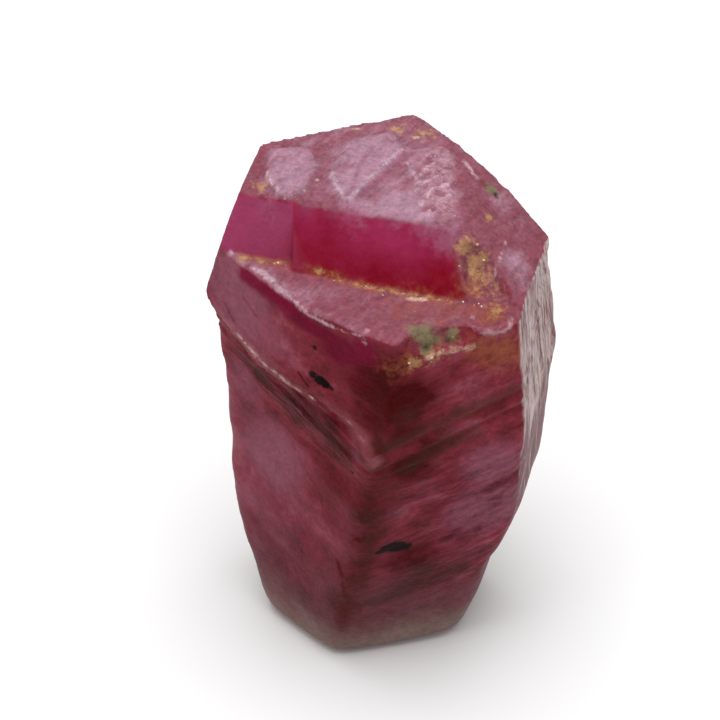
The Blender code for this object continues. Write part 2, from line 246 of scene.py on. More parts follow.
# Soft lines on the surface, by mask: a path of points, its width and its strength.
TRACES = {
    # Frosted lines along the slab edges and the ledge's rim, also a painted sheen.
    "frost_and_sheen": (
        (MIDDLE_SLAB_EDGE, 0.3, 0.8), (RIGHT_SLAB_EDGE, 0.35, 0.95), (LEDGE_RIM, 0.35, 0.5),
    ),
    # Dark pink lines on the terrace; the first lies at the foot of the middle slab's wall and is painted
    # shade.
    "mark": (
        (((-0.68, 0.28, 14.66), (-0.2, 0.95, 14.68), (0.32, 1.62, 14.68), (0.62, 2.2, 14.66)), 0.15, 0.62),
        (((-0.79, 0.64, 14.76), (-0.66, 1.32, 14.76), (-0.47, 1.92, 14.76), (-0.25, 2.35, 14.76)), 0.1, 0.42),
        (((-1.62, 1.6, 14.6), (-1.5, 1.0, 14.62), (-1.7, 0.6, 14.6)), 0.2, 0.45),
        (((1.05, 0.4, 14.66), (1.5, 0.95, 14.66)), 0.1, 0.4),
        (((1.1, 1.3, 14.66), (1.55, 1.65, 14.66)), 0.08, 0.4),
    ),
    # Raised rims, painted lighter along their edges: painted highlights.
    "rim": (
        (((2.25, 2.1, 14.5), (2.42, 1.8, 14.5), (2.62, 1.45, 14.45)), 0.09, 0.62),
        (RIDGE_PATH[3:], 0.06, 0.2), (LEDGE_RIM[2:4], 0.1, 0.72), (LEDGE_RIM[3:6], 0.08, 0.58),
        (LEDGE_RIM[:3], 0.09, 0.45), (LEDGE_RIM[5:8], 0.06, 0.42),
        (((-0.42, -3.38, 13.25), (-0.47, -3.54, 12.97)), 0.08, 0.65), (LEFT_SLAB_EDGE[:3], 0.09, 0.52),
        (LEFT_SLAB_EDGE[2:], 0.08, 0.38), (MIDDLE_SLAB_EDGE[:3], 0.09, 0.55),
        (MIDDLE_SLAB_EDGE[2:], 0.08, 0.55),
        (((0.64, 1.84, 14.68), (0.82, 1.5, 14.68), (0.98, 0.99, 14.68)), 0.07, 0.5),
        (((0.9, 1.1, 14.68), (1.31, 1.72, 14.68), (1.59, 1.93, 14.68)), 0.07, 0.55),
        (((0.9, 0.66, 14.68), (1.25, 1.12, 14.66), (1.71, 1.42, 14.68)), 0.07, 0.6),
        (((1.02, 0.03, 14.68), (1.35, 0.66, 14.68), (1.76, 0.87, 14.68)), 0.07, 0.6),
        (((1.23, -0.26, 14.68), (1.56, 0.25, 14.67), (1.8, 0.45, 14.68)), 0.07, 0.5),
        (((2.35, -2.75, 13.25), (2.42, -3.2, 13.2)), 0.07, 0.42),
        (((2.55, -3.28, 13.14), (2.68, -3.33, 13.1), (2.95, -3.26, 13.07), (3.19, -3.2, 13.09)), 0.1, 0.72),
        (((3.19, -3.2, 13.09), (3.35, -3.16, 13.16), (3.41, -2.83, 13.25)), 0.08, 0.45),
        (((3.01, -1.59, 13.61), (3.12, -1.24, 13.91)), 0.06, 0.7),
        (((3.18, -1.0, 13.9), (3.3, -0.55, 13.89)), 0.05, 0.45), (STRIP_EDGE, 0.06, 0.45),
        (RIDGE_PATH[:4], 0.08, 0.38),
    ),
    # Painted sheen: a greyish pink band along the ridge, and a thin line in the groove.
    "haze_sheen": (
        (RIDGE_PATH, 0.25, 0.9), (((-2.87, -1.49, 9.31), (-2.21, -2.19, 9.21)), 0.07, 0.8),
    ),
    # Painted glints: tiny painted highlights along the ledge's rim, the slab edges, the riser's foot and the
    # ridge.
    "glint": (
        (LEDGE_RIM[1:7], 0.14, 0.12), (LEFT_SLAB_EDGE, 0.12, 0.14), (MIDDLE_SLAB_EDGE, 0.12, 0.13),
        (RISER_FOOT, 0.1, 0.12), (RIDGE_PATH[:4], 0.1, 0.09),
    ),
    "wine": (
        (UNDER_RIM, 0.28, 1.15), (((-1.92, -2.61, 10.22), (-1.25, -3.03, 9.88)), 0.1, 0.8),
        (((-3.72, -1.0, 12.32), (-3.37, -1.43, 12.02)), 0.08, 0.5),
    ),
    "dark": (
        # The first trace darkens the groove under the ridge: painted shade.
        (((-3.26, -1.13, 9.6), (-2.48, -1.86, 9.4), (-1.66, -2.7, 9.2), (-0.98, -3.35, 8.9)), 0.36, 0.95),
        (FRONT_EDGE, 0.3, 0.45), (DEEP_EDGE, 0.62, 0.58),
        (((-1.19, -3.08, 4.42), (-1.11, -3.26, 3.82), (-1.0, -3.22, 2.99)), 0.12, 0.9),
        (((-0.8, -3.48, 5.84), (-0.62, -3.6, 5.66), (-0.41, -3.54, 5.81)), 0.08, 0.9),
        (((-1.38, -2.95, 10.17), (-0.98, -3.24, 9.71), (-0.63, -3.61, 9.5), (-0.25, -4.0, 8.76)), 0.09, 0.9),
        (((-2.24, -2.41, 10.88), (-1.97, -2.58, 10.53)), 0.06, 0.9),
        (((-4.23, -0.56, 11.72), (-4.01, -0.85, 11.37)), 0.07, 0.6),
    ),
    "smoke": (
        (((-3.95, -0.49, 9.88), (-3.26, -1.16, 9.5), (-2.63, -1.72, 9.1), (-2.08, -2.24, 8.9)), 0.3, 0.34),
        (((-2.21, -2.14, 9.1), (-1.39, -2.89, 8.9), (-0.85, -3.4, 8.5)), 0.26, 0.5), (DEEP_EDGE, 0.7, 0.42),
    ),
    "stain": ((RISER_FOOT, 0.18, 0.75),),
    "gold": ((RISER_FOOT, 0.09, 0.45),),
    "pale": (
        (((1.2, -3.8, 12.65), (1.32, -3.76, 12.67)), 0.09, 1.0),
        (((1.4, -3.7, 12.7), (1.79, -3.66, 12.76), (2.11, -3.6, 12.77), (2.4, -3.48, 12.72)), 0.18, 0.5),
        # Along the ridge this pale line is a painted highlight.
        (RIDGE_PATH[1:5], 0.07, 0.36),
        (((4.8, 0.43, 9.86), (4.48, -0.7, 9.6), (4.18, -1.83, 9.51)), 0.08, 0.7),
        (((0.7, -2.11, 13.27), (1.12, -2.13, 13.27)), 0.08, 1.0),
        (((0.9, 3.02, 14.62), (1.0, 3.03, 14.62)), 0.07, 1.0),
        (((-2.1, 0.67, 14.67), (-2.08, 0.7, 14.67)), 0.05, 1.0),
        (((-1.76, 1.18, 14.62), (-1.74, 1.2, 14.62)), 0.05, 1.0),
        (((-0.8, 3.41, 14.6), (-0.65, 3.42, 14.6)), 0.06, 0.8),
    ),
}

# Stripes along the lamellae, by mask: the side's azimuth, the low and high level, the left and right end,
# and the strength.
BANDS = {
    "smoke": (
        (FRONT, 9.58, 9.94, -0.3, 3.9, 0.62), (FRONT, 8.70, 9.15, 0.2, 2.9, 0.58),
        (FRONT, 3.74, 4.00, -0.8, 2.7, 0.80), (LEFT, 8.50, 9.05, -4.3, -0.6, 0.50),
    ),
    "dark": (
        (FRONT, 6.70, 6.92, 1.0, 4.1, 0.62), (FRONT, 6.26, 6.34, 1.8, 3.9, 0.45),
        (FRONT, 5.92, 6.02, 1.4, 3.6, 0.45), (FRONT, 5.28, 5.50, -0.6, 3.2, 0.60),
        (FRONT, 7.80, 7.90, 0.3, 2.6, 0.35), (FRONT, 4.70, 4.80, -0.5, 1.8, 0.40),
        (LEFT, 8.02, 8.10, -3.0, -1.0, 0.45),
    ),
}


def ease(low, high, x):
    """0 below low, 1 above high and smooth in between. With low above high it falls."""
    t = np.clip((x - low) / (high - low), 0.0, 1.0)
    return t * t * (3.0 - 2.0 * t)


def window(x, start, full, fading, end):
    """0 outside start and end, 1 between full and fading."""
    return ease(start, full, x) * ease(end, fading, x)


def path_distance(points, path):
    """Each point's distance to the nearest place on the path."""
    best = np.full(len(points), np.inf)
    for a, b in zip(path, path[1:]):
        a = np.array(a)
        along = np.array(b) - a
        share = np.clip((points - a) @ along / (along @ along), 0.0, 1.0)
        best = np.minimum(best, np.linalg.norm(points - a - share[:, None] * along, axis=1))
    return best


# ---- The skin's mesh ----------------------------------------------------------


def mesh_edges(mesh):
    edges = np.empty(len(mesh.edges) * 2, dtype=np.int32)
    mesh.edges.foreach_get("vertices", edges)
    return edges.reshape(-1, 2)


def mesh_points(mesh):
    co = np.empty(len(mesh.vertices) * 3, dtype=np.float32)
    mesh.vertices.foreach_get("co", co)
    return co.reshape(-1, 3).astype(float)


def mesh_normals(mesh):
    no = np.empty(len(mesh.vertices) * 3, dtype=np.float32)
    mesh.vertex_normals.foreach_get("vector", no)
    return no.reshape(-1, 3).astype(float)


def move_points(mesh, points):
    mesh.vertices.foreach_set("co", points.astype(np.float32).ravel())
    mesh.update()


def blur(values, edges, times):
    """Averages the values at the vertices with their neighbours' values."""
    values = np.array(values, dtype=float)
    flat = values.reshape(len(values), -1)
    degree = np.bincount(edges.ravel(), minlength=len(values))[:, None]
    for _ in range(times):
        total = np.zeros_like(flat)
        for column in range(flat.shape[1]):
            for here, there in ((0, 1), (1, 0)):
                total[:, column] += np.bincount(
                    edges[:, here], weights=flat[edges[:, there], column], minlength=len(flat)
                )
        flat = 0.5 * flat + 0.5 * total / np.maximum(degree, 1)
    return flat.reshape(values.shape)


def finished_mesh(obj):
    """The object's mesh with its modifiers applied."""
    depsgraph = bpy.context.evaluated_depsgraph_get()
    depsgraph.update()
    return bpy.data.meshes.new_from_object(
        obj.evaluated_get(depsgraph), preserve_all_data_layers=True, depsgraph=depsgraph
    )


def even_mesh(node, cell):
    """The node's shape as small quads, in millimetres from the long axis, finer at the stepped end."""
    solid = bmesh.new()
    solid.from_mesh(node.data)
    bmesh.ops.remove_doubles(solid, verts=solid.verts[:], dist=1e-7)
    bmesh.ops.scale(solid, vec=(1 / MM,) * 3, verts=solid.verts[:])
    bmesh.ops.translate(solid, vec=-Vector(AXIS_PLACE), verts=solid.verts[:])
    coarse = bpy.data.meshes.new("coarse_skin")
    solid.to_mesh(coarse)
    obj = place_piece(coarse, "coarse_skin")
    remesh = obj.modifiers.new("even quads", "REMESH")
    remesh.mode = "VOXEL"
    remesh.voxel_size = cell
    mesh = finished_mesh(obj)
    bpy.data.objects.remove(obj)
    bpy.data.meshes.remove(coarse)
    refine(mesh, BVHTree.FromBMesh(solid))
    solid.free()
    return mesh


def refine(mesh, surface):
    """Halves the quads of the front and top above FINE_ABOVE, and lays every vertex on the surface."""
    bm = bmesh.new()
    bm.from_mesh(mesh)
    bm.normal_update()

    def fine(vert):
        return vert.co.z > FINE_ABOVE and (vert.normal.z > 0.5 or vert.normal.y < 0.1)

    chosen = [edge for edge in bm.edges if fine(edge.verts[0]) and fine(edge.verts[1])]
    bmesh.ops.subdivide_edges(bm, edges=chosen, cuts=1, use_grid_fill=True)
    for vert in bm.verts:
        vert.co = surface.find_nearest(vert.co)[0]
    bm.to_mesh(mesh)
    bm.free()


def tumble(points, edges):
    """Rounds the edges as natural wear does: a little at the stepped end, and more towards the foot."""
    soft = blur(points, edges, EDGE_ROUNDS)
    round_foot = blur(soft, edges, FOOT_ROUNDS)
    heel = blur(round_foot, edges, HEEL_ROUNDS)
    share = ease(9.9, 7.9, points @ LAMELLA)[:, None]
    rounded = soft + share * (round_foot - soft)

    # The slabs lose their facets but keep their sharp edges, and so does the fold under the ledge's rim.
    sharp = np.minimum(path_distance(points, LEFT_SLAB_EDGE), path_distance(points, MIDDLE_SLAB_EDGE))
    slab = (ease(TERRACE - 0.04, TERRACE, points[:, 2]) * ease(0.12, 0.35, sharp))[:, None]
    fold = ease(0.40, 0.20, path_distance(points, UNDER_RIM))[:, None]
    rounded += np.maximum(0.6 * slab, fold) * (blur(soft, edges, SLAB_ROUNDS) - soft)

    low = ease(3.2, 0.8, points[:, 2])[:, None]
    rounded = rounded + low * (heel - rounded)
    rounded[:, :2] *= 1 + HEEL_SWELL * low / np.maximum(np.linalg.norm(rounded[:, :2], axis=1)[:, None], 1.0)
    rounded[:, 2] = np.maximum(rounded[:, 2], 0.0)
    return rounded


class Zones:
    """Where each kind of surface lies, as a mask between 0 and 1 over the skin's vertices."""

    def __init__(self, points, normals, edges):
        self.points = points
        self.edges = edges
        self.x, self.y, self.z = points.T
        self.up = normals[:, 2]
        self.flat = np.linalg.norm(normals[:, :2], axis=1)
        self.side = normals / np.maximum(self.flat, 1e-6)[:, None]
        self.steep = ease(0.70, 0.92, self.flat)
        self.front = ease(0.6, 0.9, self.side @ unit(FRONT)) * self.steep
        self.left = ease(0.6, 0.9, self.side @ unit(LEFT)) * self.steep
        # The lamellae waver a little.
        wave = 0.04 * np.sin(2.3 * self.x + 0.7) + 0.03 * np.sin(5.1 * self.x + 2.0 * self.y)
        self.level = points @ LAMELLA + wave
        self.find_end()
        self.masks = {}
        self.lay_end()
        self.lay_marks()
        self.lay_sides()
        self.lay_relief()

    def lay(self, name, values):
        self.masks[name] = np.maximum(self.masks.get(name, 0.0), values)

    def find_end(self):
        """The parts of the stepped end, and what lies below it."""
        x, z = self.x, self.z
        self.below_end = ease(LEDGE - 0.25, LEDGE - 0.45, z)
        self.top = ease(0.58, 0.78, self.up) * ease(LEDGE - 0.35, LEDGE - 0.15, z)
        high = ease(TERRACE - 0.04, TERRACE + 0.02, z)
        self.terrace = np.maximum(self.top, high) * ease(TERRACE - 0.40, TERRACE - 0.15, z)
        self.shoulder = self.top * ease(1.85, 2.05, x)
        self.ledge = self.top * ease(LEDGE + 0.45, LEDGE + 0.25, z) * ease(2.3, 2.0, x)
        end = RISER_END + RISER_SLANT * (RISER_END_HEIGHT - z)
        riser = (
            ease(0.92, 0.80, self.up)
            * ease(RISER_LEVEL - 0.32, RISER_LEVEL - 0.20, self.points @ RISER)
            * window(z, LEDGE - 0.12, LEDGE + 0.09, TERRACE - 0.10, TERRACE + 0.10)
            * ease(0.10, -0.10, x - end)
        )
        self.riser = np.clip(blur(riser, self.edges, RISER_ROUNDS) * 1.1, 0.0, 1.0)

    def lay_end(self):
        """The colours of the stepped end: frosted slabs and ledge with a painted sheen, flakes with painted
        glints, and the clear riser with a painted glow at its top.
        """
        x, y, z = self.x, self.y, self.z
        low_slab = blur(ease(TERRACE + 0.02, TERRACE + 0.06, z), self.edges, SLAB_ROUNDS)
        high_slab = blur(ease(TERRACE + 0.08, TERRACE + 0.14, z), self.edges, SLAB_ROUNDS)
        # Frosting and painted sheen: the higher slabs are painted lighter.
        frosted = 0.36 + 0.15 * low_slab + 0.29 * high_slab - 0.20 * ease(-2.6, -3.4, x)
        self.lay("rose", np.maximum(self.top, self.terrace) * (1 - self.riser))
        self.lay("frost_and_sheen", self.terrace * frosted * (1 - 0.5 * ease(1.8, 2.3, x)))
        self.lay("frost_and_sheen", 0.20 * self.ledge + 0.18 * self.shoulder * ease(LEDGE + 0.05, LEDGE + 0.35, z))
        flakes = self.terrace * window(x, 0.90, 1.30, 1.80, 2.15) * window(y, -0.7, -0.2, 2.1, 2.6)
        self.lay("flake", flakes)
        # Painted glints on the flakes and the terrace.
        self.lay("glint", 0.035 * flakes + 0.080 * self.terrace)
        self.lay("mark", 0.42 * flakes)
        self.lay("heart", self.riser)
        # Painted glow: the riser grows brighter magenta towards its top.
        ember = window(x, -1.9, -0.4, 0.9, 2.0)
        self.lay("ember", ease(LEDGE + 0.05, TERRACE - 0.20, z) * (0.60 + 0.40 * ember))
        fade = 0.04 + 0.60 * ease(TERRACE - 0.35, LEDGE + 0.20, z)
        self.lay("pink", self.riser * ease(MILKY_END + fade, MILKY_END - fade, x))

    def lay_marks(self):
        """The spots, the traces and the bands."""
        for mask, spots in SPOTS.items():
            for *place, radius, strength in spots:
                away = np.linalg.norm(self.points - np.array(place), axis=1) / radius
                self.lay(mask, strength * np.exp(-(away**2)))
        for mask, traces in TRACES.items():
            for path, width, strength in traces:
                away = path_distance(self.points, path) / width
                self.lay(mask, strength * np.exp(-(away**2)))
        for mask, bands in BANDS.items():
            for azimuth, low, high, left, right, strength in bands:
                faces = ease(0.70, 0.90, self.side @ unit(azimuth)) * self.below_end
                inside = window(self.level, low - 0.30, low + 0.16, high - 0.16, high + 0.30)
                reach = window(self.x, left - 0.2, left + 0.5, right - 0.5, right + 0.2)
                self.lay(mask, strength * faces * inside * reach)
        self.masks["frost_and_sheen"] *= ease(0.35, 0.60, self.up) * (1 - self.riser)
        self.masks["rose"] *= 1 - self.riser
        self.masks["wine"] *= 1 - 0.8 * self.masks["frost_and_sheen"] * self.ledge

    def lay_sides(self):
        """The threads of the groove, the milky sides, the scuffed strip with its painted grazing sheen, and a
        painted shadow round the foot.
        """
        x, y, z, level = self.x, self.y, self.z, self.level
        groove = self.left * window(level, 8.2, 8.7, 9.7, 10.2) * self.below_end
        self.lay("thread", 0.38 * groove * ease(-0.7, -1.5, x))
        self.lay("mauve", 0.5 * ease(0.2, 0.8, self.side @ unit(BACK)) * self.steep)
        self.lay("mauve", (0.31 * self.steep + 0.06 * self.left) * ease(8.2, 7.4, level))
        # The grey strip: scrapes, and a painted grazing sheen.
        strip = ease(0.84, 0.94, self.side @ unit(STRIP)) * self.steep * ease(3.5, 7.5, z) * ease(2.8, 3.3, x)
        self.lay("grey", blur(strip, self.edges, STRIP_ROUNDS) * (1 - 0.48 * ease(-0.6, 1.0, y)))
        self.lay("foot", ease(5.5, 1.0, z) * self.steep)
        # Painted shadow: the foot fades to a brownish grey as if blurred into the shadow on the floor.
        self.lay("foot_shadow", 0.9 * ease(2.3, -0.1, z) * ease(0.4, 0.7, self.flat))
        # The strip is painted lighter towards the top: painted sheen.
        self.masks["scuff_and_sheen"] += ease(6.5, 12.5, z)

    def lay_relief(self):
        """How strongly the striae and the grain stand out, and where crumbs lie."""
        masks, level, left, z = self.masks, self.level, self.left, self.z
        masks["streak"] = self.steep * (
            0.35
            + 0.40 * self.front * window(z, 2.2, 3.4, 8.0, 9.0) * ease(0.0, 1.2, self.x)
            + 0.35 * left * window(level, 8.0, 8.3, 9.7, 10.2)
            - 0.25 * left * ease(10.0, 10.4, level)
            - 0.29 * left * ease(8.0, 7.6, level)
            - 0.30 * left * ease(-1.5, -0.7, self.x) * ease(8.0, 8.3, level)
            - 0.20 * ease(2.5, 1.0, z)
        )
        masks["striae"] = masks["streak"] * (1 - 0.9 * masks["heart"])
        level_faces = 0.5 * self.ledge + 0.30 * self.terrace + 0.9 * self.shoulder
        rough = 0.25 * self.steep + level_faces + 0.4 * masks["flake"] - 0.2 * masks["heart"]
        masks["rough"] = np.clip(rough, 0.06, 1.2)
        rusty = 0.4 * masks["stain"] ** 2 * ease(LEDGE - 0.35, LEDGE - 0.05, z)
        crumbs = np.clip(masks["gold"] ** 2 + rusty, 0.0, 1.0)
        masks["crumbs"] = np.where(crumbs < LEAST_CRUMBS, 0.0, crumbs)


# ---- Node helpers ---------------------------------------------------------------


def add_node(tree, kind, inputs=None, **settings):
    """A node with its settings, and its inputs given as values or as sockets to link from."""
    node = tree.nodes.new(kind)
    for name, value in settings.items():
        setattr(node, name, value)
    for name, value in (inputs or {}).items():
        socket = node.inputs[name]
        if isinstance(value, bpy.types.NodeSocket):
            tree.links.new(value, socket)
        else:
            socket.default_value = value
    return node


def maths(tree, operation, *values, clamp=False):
    node = add_node(tree, "ShaderNodeMath", dict(enumerate(values)), operation=operation, use_clamp=clamp)
    return node.outputs[0]


def centred(tree, value, middle=0.5):
    """The value less its middle."""
    return maths(tree, "SUBTRACT", value, middle)


def vector_maths(tree, operation, *values, out="Vector"):
    node = add_node(tree, "ShaderNodeVectorMath", dict(enumerate(values)), operation=operation)
    return node.outputs[out]


def scaled(tree, vector, factor):
    """The vector times a number."""
    return add_node(tree, "ShaderNodeVectorMath", {0: vector, "Scale": factor}, operation="SCALE").outputs[0]


def noise(tree, place, scale, detail, roughness=0.5):
    inputs = {"Vector": place, "Scale": scale, "Detail": detail, "Roughness": roughness}
    return add_node(tree, "ShaderNodeTexNoise", inputs).outputs[0]


def ridged(tree, value, sharpness):
    """Thin bright lines where a noise value passes its middle."""
    away = maths(tree, "ABSOLUTE", centred(tree, value))
    return maths(tree, "SUBTRACT", 1.0, maths(tree, "MULTIPLY", away, sharpness), clamp=True)


def remap(tree, value, low, high, curve="LINEAR"):
    """0 below low and 1 above high."""
    inputs = {"Value": value, "From Min": low, "From Max": high}
    return add_node(tree, "ShaderNodeMapRange", inputs, interpolation_type=curve).outputs[0]


def new_group(name, kind, inputs, output):
    """A node group. An input is (name, kind of socket, default), and the output is (name, kind)."""
    tree = bpy.data.node_groups.new(name, kind)
    for label, socket, default in inputs:
        item = tree.interface.new_socket(label, in_out="INPUT", socket_type="NodeSocket" + socket)
        if default is not None:
            item.default_value = default
    tree.interface.new_socket(output[0], in_out="OUTPUT", socket_type="NodeSocket" + output[1])
    return tree, tree.nodes.new("NodeGroupInput").outputs


def close_group(tree, result):
    """Gives the group its result."""
    end = tree.nodes.new("NodeGroupOutput")
    tree.links.new(result, end.inputs[0])
    arrange(tree)
    return tree


def arrange(tree):
    """Spreads the nodes out in the order they were made, so the tree can be read."""
    for number, node in enumerate(tree.nodes):
        node.location = (220 * (number // 6), -260 * (number % 6))


# ---- Relief and crumbs ------------------------------------------------------------


def named(tree, name):
    """The mask stored on the mesh under this name."""
    return add_node(tree, "GeometryNodeInputNamedAttribute", {"Name": name}, data_type="FLOAT").outputs[0]


def keep_field(tree, geometry, name, field, domain):
    """The geometry with a field stored on it under this name."""
    inputs = {"Geometry": geometry, "Name": name, "Value": field}
    kind = "GeometryNodeStoreNamedAttribute"
    return add_node(tree, kind, inputs, data_type="FLOAT", domain=domain).outputs[0]


def random_number(tree, low, high, seed):
    inputs = {2: low, 3: high, "Seed": seed}
    return add_node(tree, "FunctionNodeRandomValue", inputs, data_type="FLOAT").outputs[1]


def random_vector(tree, low, high, seed):
    inputs = {0: low, 1: high, "Seed": seed}
    return add_node(tree, "FunctionNodeRandomValue", inputs, data_type="FLOAT_VECTOR").outputs[0]


def dress(tree, geometry, material):
    """Ends a Geometry Nodes tree with real geometry in its material."""
    real = add_node(tree, "GeometryNodeRealizeInstances", {"Geometry": geometry})
    dressed = add_node(tree, "GeometryNodeSetMaterial", {"Geometry": real.outputs[0], "Material": material})
    return close_group(tree, dressed.outputs[0])


def growth_relief_tree():
    """Striae parallel to the lamellae, and fine grain, raised along the normals where the masks say."""
    tree, value = new_group(
        "growth_relief",
        "GeometryNodeTree",
        (
            ("Geometry", "Geometry", None),
            ("Striae Depth", "Float", 0.05),
            ("Striae Pitch", "Float", 0.25),
            ("Grain Depth", "Float", 0.03),
            ("Grain Size", "Float", 0.2),
            ("Swell", "Float", 0.04),
            ("Flake Depth", "Float", 0.06),
            ("Rim Height", "Float", 0.03),
            ("Seed", "Int", 1),
            ("Material", "Material", None),
        ),
        ("Geometry", "Geometry"),
    )
    calc = partial(maths, tree)
    place = add_node(tree, "GeometryNodeInputPosition").outputs[0]
    normal = add_node(tree, "GeometryNodeInputNormal").outputs[0]

    # The striae run along wavering levels of the lamellae, and come and go in patches.
    level = vector_maths(tree, "DOT_PRODUCT", place, tuple(LAMELLA), out="Value")
    level = calc("MULTIPLY_ADD", noise(tree, place, 0.7, 2.0), 0.35, level)
    level = calc("MULTIPLY_ADD", noise(tree, place, 2.2, 2.0), 0.22, level)
    turns = calc("ADD", calc("DIVIDE", level, value["Striae Pitch"]), value["Seed"])
    inputs = {"W": turns, "Scale": 1.0, "Detail": 3.0, "Roughness": 0.6}
    striae = add_node(tree, "ShaderNodeTexNoise", inputs, noise_dimensions="1D").outputs[0]
    patches = calc("MULTIPLY", centred(tree, noise(tree, place, 0.8, 2.0), 0.3), 2.5, clamp=True)
    strength = calc("MULTIPLY", calc("MULTIPLY", named(tree, "striae"), patches), value["Striae Depth"])
    striae_height = calc("MULTIPLY", calc("MULTIPLY", centred(tree, striae), strength), 2.0)

    scale = calc("DIVIDE", 1.0, value["Grain Size"])
    inputs = {"Vector": place, "W": value["Seed"], "Scale": scale, "Detail": 3.0, "Roughness": 0.55}
    grain = add_node(tree, "ShaderNodeTexNoise", inputs, noise_dimensions="4D").outputs[0]
    strength = calc("MULTIPLY", named(tree, "rough"), value["Grain Depth"])
    grain_height = calc("MULTIPLY", centred(tree, grain), strength)
    height = calc("ADD", striae_height, calc("MULTIPLY", grain_height, 2.0))

    crest = calc("MULTIPLY", ridged(tree, noise(tree, place, 2.3, 2.0), 7.0), named(tree, "flake"))
    height = calc("MULTIPLY_ADD", crest, value["Flake Depth"], height)
    height = calc("MULTIPLY_ADD", named(tree, "rim"), value["Rim Height"], height)
    relief = calc("MULTIPLY_ADD", height, 8.0, 0.5, clamp=True)
    swell = calc("MULTIPLY", centred(tree, noise(tree, place, 0.9, 1.0)), value["Swell"])
    offset = scaled(tree, normal, calc("ADD", height, swell))

    geometry = keep_field(tree, value["Geometry"], "crest", crest, "POINT")
    geometry = keep_field(tree, geometry, "relief", relief, "POINT")
    moved = add_node(tree, "GeometryNodeSetPosition", {"Geometry": geometry, "Offset": offset})
    smooth = add_node(tree, "GeometryNodeSetShadeSmooth", {"Geometry": moved.outputs[0]})
    return dress(tree, smooth.outputs[0], value["Material"])


def crust_tree():
    """Small crumbs scattered on a surface, thick where its crumb mask is high."""
    tree, value = new_group(
        "crust_scatter",
        "GeometryNodeTree",
        (
            ("Geometry", "Geometry", None),
            ("Grains per mm2", "Float", 60.0),
            ("Smallest", "Float", 0.02),
            ("Largest", "Float", 0.06),
            ("Seed", "Int", 1),
            ("Material", "Material", None),
        ),
        ("Geometry", "Geometry"),
    )
    density = maths(tree, "MULTIPLY", named(tree, "crumbs"), value["Grains per mm2"])
    inputs = {"Mesh": value["Geometry"], "Density": density, "Seed": value["Seed"]}
    points = add_node(tree, "GeometryNodeDistributePointsOnFaces", inputs, distribute_method="RANDOM").outputs
    crumb = add_node(tree, "GeometryNodeMeshIcoSphere", {"Radius": 1.0, "Subdivisions": 1})
    size = random_number(tree, value["Smallest"], value["Largest"], value["Seed"])
    squash = random_vector(tree, (0.6, 0.6, 0.4), (1.3, 1.3, 0.9), 7)
    turn = random_vector(tree, (-0.6, -0.6, 0.0), (0.6, 0.6, 6.28), 9)
    inputs = {0: points["Rotation"], 1: turn}
    turned = add_node(tree, "FunctionNodeRotateRotation", inputs, rotation_space="LOCAL")
    crumbs = add_node(
        tree,
        "GeometryNodeInstanceOnPoints",
        {
            "Points": points["Points"],
            "Instance": crumb.outputs["Mesh"],
            "Rotation": turned.outputs[0],
            "Scale": scaled(tree, squash, size),
        },
    )
    toned = keep_field(tree, crumbs.outputs[0], "tone", random_number(tree, 0.0, 1.0, 11), "INSTANCE")
    return dress(tree, toned, value["Material"])


def place_piece(data, name):
    """An object with this mesh, light or camera, in the scene."""
    obj = bpy.data.objects.new(name, data)
    bpy.context.scene.collection.objects.link(obj)
    return obj


def grow(mesh, name, tree, values):
    """Runs a Geometry Nodes tree on the mesh, and returns the result as a plain mesh."""
    obj = place_piece(mesh, name)
    modifier = obj.modifiers.new(tree.name, "NODES")
    modifier.node_group = tree
    sockets = {item.name: item.identifier for item in tree.interface.items_tree if item.in_out == "INPUT"}
    for label, value in values.items():
        modifier[sockets[label]] = value
    result = finished_mesh(obj)
    bpy.data.objects.remove(obj)
    return result


def to_frame(mesh):
    """From millimetres about the long axis to metres in the frame. Nothing goes below the foot."""
    points = (mesh_points(mesh) + AXIS_PLACE) * MM
    points[:, 2] = np.maximum(points[:, 2], 0.0)
    move_points(mesh, points)


# ---- Materials --------------------------------------------------------------------


def streak_group():
    """Long streaks in planes parallel to the lamellae."""
    tree, value = new_group(
        "lamella_streaks",
        "ShaderNodeTree",
        (
            ("Place", "Vector", None),
            ("Pitch", "Float", 0.3),
            ("Length", "Float", 3.0),
            ("Detail", "Float", 3.0),
        ),
        ("Streak", "Float"),
    )
    level = vector_maths(tree, "DOT_PRODUCT", value["Place"], tuple(LAMELLA), out="Value")
    across = scaled(tree, tuple(LAMELLA), maths(tree, "DIVIDE", level, value["Pitch"]))
    along = scaled(tree, value["Place"], maths(tree, "DIVIDE", 1.0, value["Length"]))
    place = vector_maths(tree, "ADD", along, across)
    return close_group(tree, noise(tree, place, 1.0, value["Detail"], 0.6))


def ragged_group():
    """Gives a soft mask a ragged edge that follows a pattern."""
    tree, value = new_group(
        "ragged_mask",
        "ShaderNodeTree",
        (
            ("Mask", "Float", 0.0),
            ("Pattern", "Float", 0.5),
            ("Raggedness", "Float", 1.0),
            ("Softness", "Float", 0.3),
        ),
        ("Mask", "Float"),
    )
    gate = maths(tree, "MULTIPLY", value["Mask"], 4.0, clamp=True)
    swing = maths(tree, "MULTIPLY", value["Raggedness"], gate)
    mixed = maths(tree, "MULTIPLY_ADD", centred(tree, value["Pattern"]), swing, value["Mask"])
    low = maths(tree, "SUBTRACT", 0.5, value["Softness"])
    high = maths(tree, "ADD", 0.5, value["Softness"])
    return close_group(tree, remap(tree, mixed, low, high, "SMOOTHSTEP"))


def use_group(tree, group, inputs):
    return add_node(tree, "ShaderNodeGroup", inputs, node_tree=group).outputs[0]


